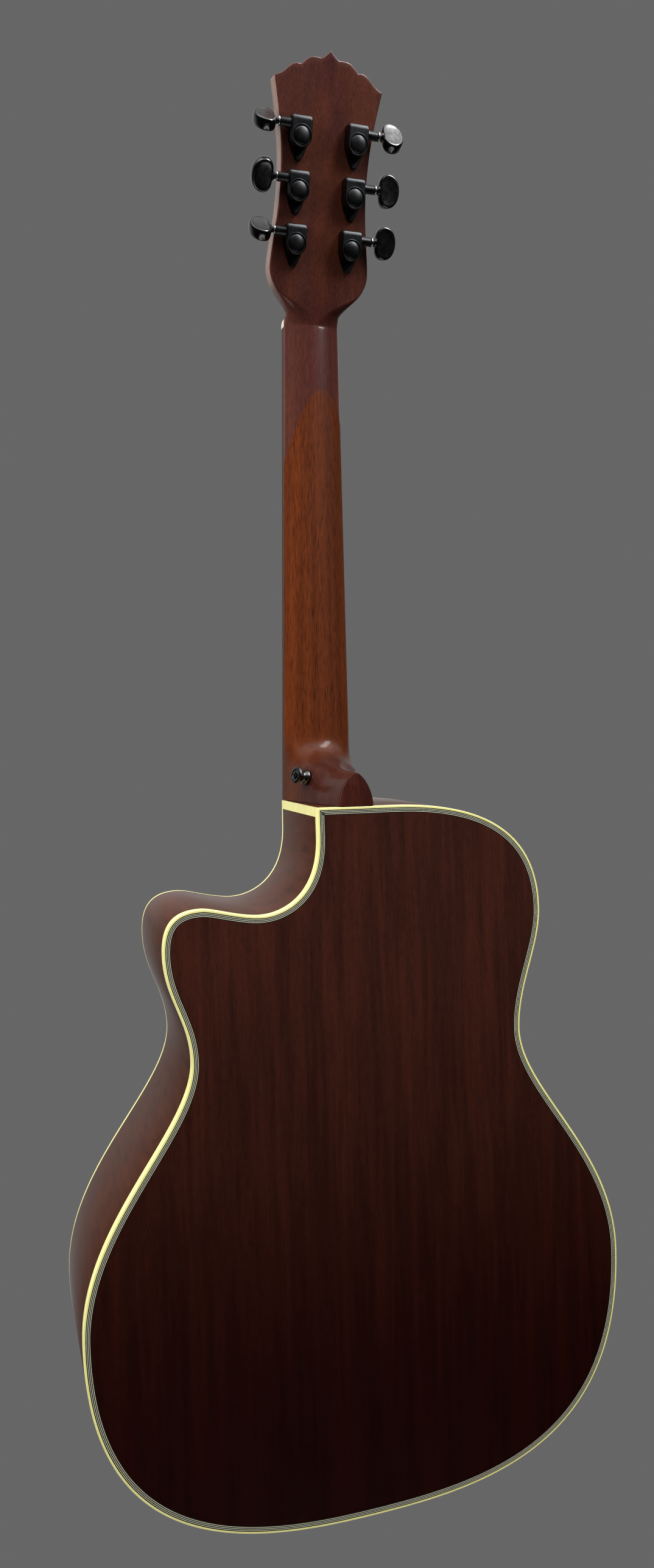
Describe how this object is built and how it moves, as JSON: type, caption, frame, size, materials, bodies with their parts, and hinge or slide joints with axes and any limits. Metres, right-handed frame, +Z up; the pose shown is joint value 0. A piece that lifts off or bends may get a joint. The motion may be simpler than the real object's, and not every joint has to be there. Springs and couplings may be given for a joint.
{
  "type": "acoustic-electric guitar",
  "caption": "Steel-string acoustic-electric guitar with a rounded cutaway, crowned headstock, geared tuners, side preamp and end-pin jack, hanging upright.",
  "frame": {"origin": "where a hanger carries the headstock: on the centre line, in the fretboard's plane, 15.5 mm above the nut", "axes": "+Z up the neck to the headstock, +Y out of the back, +X to the treble (cutaway) side"},
  "size_m": [0.396, 0.1303, 1.044],
  "materials": {
    "body_mahogany": "dark red-brown mahogany under gloss lacquer",
    "side_mahogany": "brown mahogany under gloss lacquer",
    "neck_mahogany": "orange-brown mahogany, satin shaft",
    "spruce_top": "close-grained spruce under gloss lacquer",
    "inner_wood": "bare wood",
    "cream_binding": "cream, glossy",
    "purfling": "black and white lines",
    "rosewood": "dark, open-grained",
    "bone": "off-white, polished",
    "black_metal": "satin black",
    "button_black": "glossy black",
    "steel": "plain bright steel",
    "bronze_string": "wound bronze",
    "black_plastic": "moulded black",
    "battery_case": "plain dark, unlabelled"
  },
  "bodies": {
    "root": {"back_binding": "cream_binding", "back_bracing": "inner_wood", "back_lining_bass": "inner_wood", "back_lining_treble": "inner_wood", "back_plate": "body_mahogany", "back_purfling": "purfling", "battery": "battery_case", "bridge": "rosewood", "bridge_plate": "inner_wood", "corner_binding": "cream_binding", "end_pin_jack": "black_metal", "end_pin_nut": "steel", "fretboard": "rosewood", "headplate": "rosewood", "heel_cap": "rosewood", "heel_strap_button": "black_metal", "neck": "neck_mahogany", "neck_block": "inner_wood", "nut": "bone", "preamp_housing": "black_plastic", "saddle": "bone", "saddle_pickup": "black_plastic", "side_bass": "side_mahogany", "side_treble": "side_mahogany", "soundboard": "spruce_top", "strap_button_screw": "steel", "string_1": "steel", "string_2": "steel", "string_3": "bronze_string", "string_4": "bronze_string", "string_5": "bronze_string", "string_6": "bronze_string", "tail_block": "inner_wood", "top_binding": "cream_binding", "top_bracing": "inner_wood", "top_lining_bass": "inner_wood", "top_lining_treble": "inner_wood", "truss_rod": "steel", "truss_rod_cover": "black_plastic", "tuner_housing_1": "black_metal", "tuner_housing_2": "black_metal", "tuner_housing_3": "black_metal", "tuner_housing_4": "black_metal", "tuner_housing_5": "black_metal", "tuner_housing_6": "black_metal"},
    "button_1": {"tuner_button_1": "button_black"},
    "post_1": {"tuner_post_1": "steel"},
    "button_2": {"tuner_button_2": "button_black"},
    "post_2": {"tuner_post_2": "steel"},
    "button_3": {"tuner_button_3": "button_black"},
    "post_3": {"tuner_post_3": "steel"},
    "button_4": {"tuner_button_4": "button_black"},
    "post_4": {"tuner_post_4": "steel"},
    "button_5": {"tuner_button_5": "button_black"},
    "post_5": {"tuner_post_5": "steel"},
    "button_6": {"tuner_button_6": "button_black"},
    "post_6": {"tuner_post_6": "steel"},
    "tone": {"tone_knob": "black_plastic"},
    "volume": {"volume_knob": "black_plastic"},
    "door": {"battery_door": "black_plastic"}
  },
  "joints": [
    {"name": "button_1_turn", "type": "hinge", "parent": "root", "child": "button_1", "pos_m": [0.0211, 0.03382, 0.03948], "axis": [1, 0, 0], "continuous": true},
    {"name": "post_1_turn", "type": "hinge", "parent": "root", "child": "post_1", "pos_m": [0.0211, 0.02709, 0.03324], "axis": [0, 0.9694, -0.2453], "continuous": true},
    {"name": "button_2_turn", "type": "hinge", "parent": "root", "child": "button_2", "pos_m": [0.0211, 0.04233, 0.07312], "axis": [1, 0, 0], "continuous": true},
    {"name": "post_2_turn", "type": "hinge", "parent": "root", "child": "post_2", "pos_m": [0.0211, 0.0356, 0.06689], "axis": [0, 0.9694, -0.2453], "continuous": true},
    {"name": "button_3_turn", "type": "hinge", "parent": "root", "child": "button_3", "pos_m": [0.0211, 0.05085, 0.10676], "axis": [1, 0, 0], "continuous": true},
    {"name": "post_3_turn", "type": "hinge", "parent": "root", "child": "post_3", "pos_m": [0.0211, 0.04411, 0.10053], "axis": [0, 0.9694, -0.2453], "continuous": true},
    {"name": "button_4_turn", "type": "hinge", "parent": "root", "child": "button_4", "pos_m": [-0.0211, 0.05085, 0.10676], "axis": [1, 0, 0], "continuous": true},
    {"name": "post_4_turn", "type": "hinge", "parent": "root", "child": "post_4", "pos_m": [-0.0211, 0.04411, 0.10053], "axis": [0, 0.9694, -0.2453], "continuous": true},
    {"name": "button_5_turn", "type": "hinge", "parent": "root", "child": "button_5", "pos_m": [-0.0211, 0.04233, 0.07312], "axis": [1, 0, 0], "continuous": true},
    {"name": "post_5_turn", "type": "hinge", "parent": "root", "child": "post_5", "pos_m": [-0.0211, 0.0356, 0.06689], "axis": [0, 0.9694, -0.2453], "continuous": true},
    {"name": "button_6_turn", "type": "hinge", "parent": "root", "child": "button_6", "pos_m": [-0.0211, 0.03382, 0.03948], "axis": [1, 0, 0], "continuous": true},
    {"name": "post_6_turn", "type": "hinge", "parent": "root", "child": "post_6", "pos_m": [-0.0211, 0.02709, 0.03324], "axis": [0, 0.9694, -0.2453], "continuous": true},
    {"name": "tone_knob_turn", "type": "hinge", "parent": "root", "child": "tone", "pos_m": [-0.13613, 0.04927, -0.49021], "axis": [-0.9685, 0, -0.2489], "range_deg": [-140, 140]},
    {"name": "volume_knob_turn", "type": "hinge", "parent": "root", "child": "volume", "pos_m": [-0.14024, 0.04927, -0.47423], "axis": [-0.9685, 0, -0.2489], "range_deg": [-140, 140]},
    {"name": "battery_door_hinge", "type": "hinge", "parent": "root", "child": "door", "pos_m": [-0.12868, 0.04927, -0.51921], "axis": [0, -1, 0], "range_deg": [0, 100]}
  ],
  "couplings": [
    {"joint": "post_1_turn", "follows": "button_1_turn", "ratio": -0.071429},
    {"joint": "post_2_turn", "follows": "button_2_turn", "ratio": -0.071429},
    {"joint": "post_3_turn", "follows": "button_3_turn", "ratio": -0.071429},
    {"joint": "post_4_turn", "follows": "button_4_turn", "ratio": -0.071429},
    {"joint": "post_5_turn", "follows": "button_5_turn", "ratio": -0.071429},
    {"joint": "post_6_turn", "follows": "button_6_turn", "ratio": -0.071429}
  ]
}
